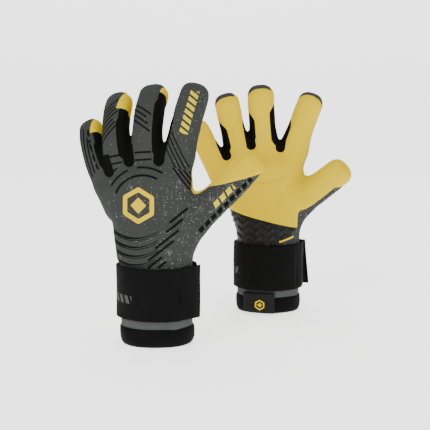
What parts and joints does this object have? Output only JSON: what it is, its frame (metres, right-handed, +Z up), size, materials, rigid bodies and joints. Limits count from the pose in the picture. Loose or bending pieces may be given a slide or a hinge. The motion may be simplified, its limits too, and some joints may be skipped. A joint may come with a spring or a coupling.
{
  "type": "goalkeeper glove pair",
  "caption": "Pair of goalkeeper gloves with latex palms, padded fingers, wrist straps and pull tabs, standing on their cuffs.",
  "frame": {"origin": "on the floor under the middle of the pair's box", "axes": "+Z up along the standing gloves, +X towards both thumbs, -Y the front: the left glove's back and the right glove's palm face it"},
  "size_m": [0.306, 0.2032, 0.2723],
  "materials": {
    "yellow_latex": "matte foam, fine grain",
    "grey_panel": "embossed knit with pale flecks and black printed bars",
    "black_gusset": "matte",
    "heel_patch": "embossed zigzag, satin",
    "lining": "brushed jersey",
    "badge": "moulded, satin",
    "sleeve_grey": "ribbed knit",
    "hem_black": "smooth, satin",
    "piping": "woven tape",
    "strap_elastic": "ribbed elastic",
    "hook_tape": "hooks",
    "loop_tape": "brushed loops",
    "pull_tab": "smooth, satin"
  },
  "bodies": {
    "left_little": {"left_little_latex": "yellow_latex", "left_little_back": "grey_panel", "left_little_gusset": "black_gusset"},
    "left_ring": {"left_ring_latex": "yellow_latex", "left_ring_back": "grey_panel", "left_ring_gusset": "black_gusset"},
    "left_middle": {"left_middle_latex": "yellow_latex", "left_middle_back": "grey_panel", "left_middle_gusset": "black_gusset"},
    "left_index": {"left_index_latex": "yellow_latex", "left_index_back": "grey_panel", "left_index_gusset": "black_gusset"},
    "left_thumb": {"left_thumb_latex": "yellow_latex", "left_thumb_back": "grey_panel"},
    "left_strap_flap": {"left_strap_flap": "strap_elastic"},
    "left_strap_end": {"left_strap_end": "strap_elastic", "left_strap_hook_patch": "hook_tape"},
    "left_pull_tab": {"left_pull_tab": "pull_tab", "left_pull_tab_badge": "badge"},
    "left_hand": {"left_back_badge": "badge", "left_backhand_panel": "grey_panel", "left_cuff_hem": "hem_black", "left_hand_lining": "lining", "left_palm_heel_patch": "heel_patch", "left_palm_latex": "yellow_latex", "left_strap_anchor": "strap_elastic", "left_strap_loop_patch": "loop_tape", "left_wrist_piping": "piping", "left_wrist_sleeve": "sleeve_grey"},
    "right_little": {"right_little_latex": "yellow_latex", "right_little_back": "grey_panel", "right_little_gusset": "black_gusset"},
    "right_ring": {"right_ring_latex": "yellow_latex", "right_ring_back": "grey_panel", "right_ring_gusset": "black_gusset"},
    "right_middle": {"right_middle_latex": "yellow_latex", "right_middle_back": "grey_panel", "right_middle_gusset": "black_gusset"},
    "right_index": {"right_index_latex": "yellow_latex", "right_index_back": "grey_panel", "right_index_gusset": "black_gusset"},
    "right_thumb": {"right_thumb_latex": "yellow_latex", "right_thumb_back": "grey_panel"},
    "right_strap_flap": {"right_strap_flap": "strap_elastic"},
    "right_strap_end": {"right_strap_end": "strap_elastic", "right_strap_hook_patch": "hook_tape"},
    "right_pull_tab": {"right_pull_tab": "pull_tab", "right_pull_tab_badge": "badge"},
    "right_hand": {"right_back_badge": "badge", "right_backhand_panel": "grey_panel", "right_cuff_hem": "hem_black", "right_hand_lining": "lining", "right_palm_heel_patch": "heel_patch", "right_palm_latex": "yellow_latex", "right_strap_anchor": "strap_elastic", "right_strap_loop_patch": "loop_tape", "right_wrist_piping": "piping", "right_wrist_sleeve": "sleeve_grey"}
  },
  "joints": [
    {"name": "left_little_flex", "type": "hinge", "parent": "left_hand", "child": "left_little", "pos_m": [-0.12424, -0.0505, 0.173], "axis": [-0.8723, 0.2917, -0.3924], "range_deg": [0, 54], "stiffness_Nm_per_rad": 0.15},
    {"name": "left_ring_flex", "type": "hinge", "parent": "left_hand", "child": "left_ring", "pos_m": [-0.10524, -0.059, 0.186], "axis": [-0.9052, 0.3737, -0.2026], "range_deg": [0, 54], "stiffness_Nm_per_rad": 0.15},
    {"name": "left_middle_flex", "type": "hinge", "parent": "left_hand", "child": "left_middle", "pos_m": [-0.07624, -0.067, 0.19], "axis": [-0.9486, 0.3083, -0.0713], "range_deg": [0, 54], "stiffness_Nm_per_rad": 0.15},
    {"name": "left_index_flex", "type": "hinge", "parent": "left_hand", "child": "left_index", "pos_m": [-0.04524, -0.075, 0.187], "axis": [-0.9473, 0.2418, 0.21], "range_deg": [0, 54], "stiffness_Nm_per_rad": 0.15},
    {"name": "left_thumb_flex", "type": "hinge", "parent": "left_hand", "child": "left_thumb", "pos_m": [-0.00324, -0.07, 0.155], "axis": [-0.6793, -0.172, 0.7135], "range_deg": [0, 45], "stiffness_Nm_per_rad": 0.15},
    {"name": "left_strap_open", "type": "hinge", "parent": "left_hand", "child": "left_strap_flap", "pos_m": [-0.11034, -0.07, 0.058], "axis": [0, 0, -1], "range_deg": [0, 120]},
    {"name": "left_strap_end_peel", "type": "hinge", "parent": "left_strap_flap", "child": "left_strap_end", "pos_m": [-0.03984, -0.09442, 0.058], "axis": [0, 0, -1], "range_deg": [0, 70]},
    {"name": "left_pull_tab_lift", "type": "hinge", "parent": "left_hand", "child": "left_pull_tab", "pos_m": [-0.07924, -0.0388, 0.027], "axis": [1, 0, 0], "range_deg": [0, 75], "stiffness_Nm_per_rad": 0.02},
    {"name": "right_little_flex", "type": "hinge", "parent": "right_hand", "child": "right_little", "pos_m": [0.00176, 0.064, 0.173], "axis": [0.8576, 0.1043, 0.5036], "range_deg": [0, 54], "stiffness_Nm_per_rad": 0.15},
    {"name": "right_ring_flex", "type": "hinge", "parent": "right_hand", "child": "right_ring", "pos_m": [0.02476, 0.067, 0.189], "axis": [0.9623, 0.0696, 0.2629], "range_deg": [0, 54], "stiffness_Nm_per_rad": 0.15},
    {"name": "right_middle_flex", "type": "hinge", "parent": "right_hand", "child": "right_middle", "pos_m": [0.05576, 0.07, 0.192], "axis": [0.9945, 0, 0.1045], "range_deg": [0, 54], "stiffness_Nm_per_rad": 0.15},
    {"name": "right_index_flex", "type": "hinge", "parent": "right_hand", "child": "right_index", "pos_m": [0.08626, 0.07, 0.187], "axis": [0.9486, -0.0522, -0.3121], "range_deg": [0, 54], "stiffness_Nm_per_rad": 0.15},
    {"name": "right_thumb_flex", "type": "hinge", "parent": "right_hand", "child": "right_thumb", "pos_m": [0.10976, 0.064, 0.143], "axis": [0.6293, -0.1561, -0.7613], "range_deg": [0, 45], "stiffness_Nm_per_rad": 0.15},
    {"name": "right_strap_open", "type": "hinge", "parent": "right_hand", "child": "right_strap_flap", "pos_m": [0.01766, 0.07, 0.058], "axis": [0, 0, 1], "range_deg": [0, 120]},
    {"name": "right_strap_end_peel", "type": "hinge", "parent": "right_strap_flap", "child": "right_strap_end", "pos_m": [0.08816, 0.09442, 0.058], "axis": [0, 0, 1], "range_deg": [0, 70]},
    {"name": "right_pull_tab_lift", "type": "hinge", "parent": "right_hand", "child": "right_pull_tab", "pos_m": [0.04876, 0.0388, 0.027], "axis": [-1, 0, 0], "range_deg": [0, 75], "stiffness_Nm_per_rad": 0.02},
    {"name": "pair_apart", "type": "slide", "parent": "left_hand", "child": "right_hand", "axis": [1, 0, 0], "range_m": [0, 0.15]}
  ]
}
